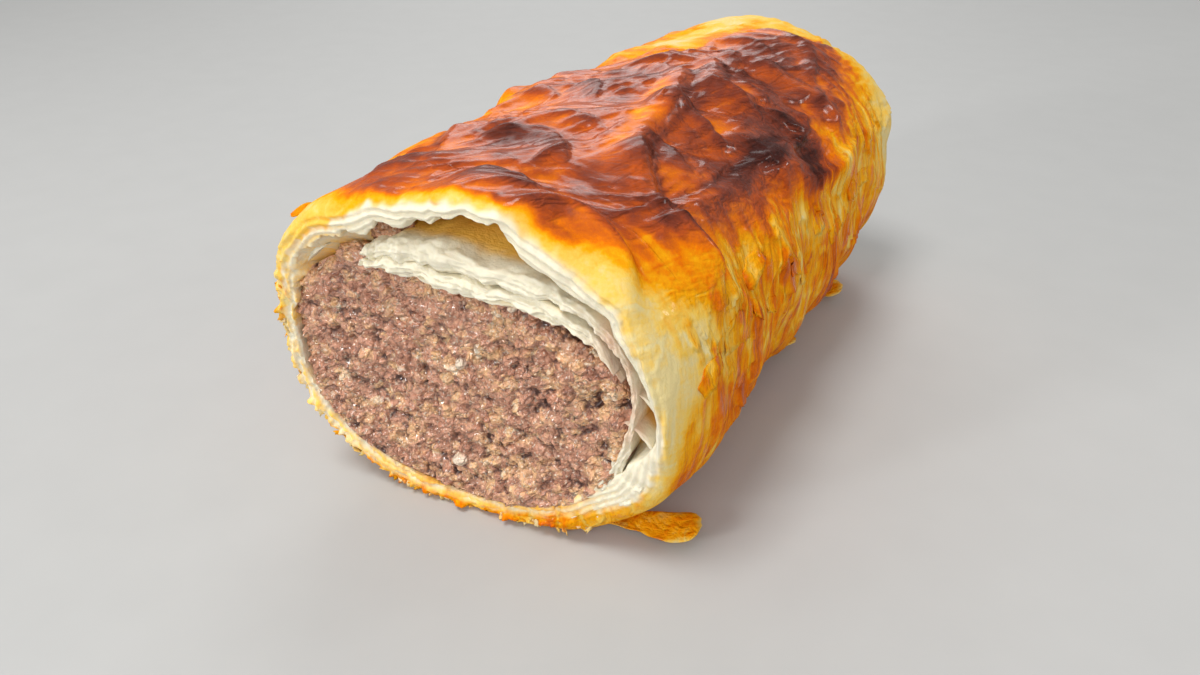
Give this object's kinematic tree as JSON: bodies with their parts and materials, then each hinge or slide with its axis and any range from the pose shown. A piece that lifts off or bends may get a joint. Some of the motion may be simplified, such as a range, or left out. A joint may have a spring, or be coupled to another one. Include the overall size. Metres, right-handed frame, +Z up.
{
  "type": "puff pastry meat strudel (sausage roll)",
  "caption": "Baked puff pastry roll, browned and glazed on top, with a minced meat filling that runs through it and shows at both open ends.",
  "frame": {"origin": "centre of the bounding box at its lowest level, on the surface that the roll rests on", "axes": "+Y along the roll from the open end shown in the picture to the other end, +X to the right seen from that end, +Z up"},
  "size_m": [0.0616, 0.105, 0.0503],
  "materials": {
    "pastry": "egg-washed puff pastry crust, browned on top and golden at the sides, matt cream layers at the rims",
    "filling": "moist coarse minced meat, brown-pink with tan flecks"
  },
  "bodies": {
    "root": {"pastry": "pastry", "filling": "filling"}
  },
  "joints": []
}
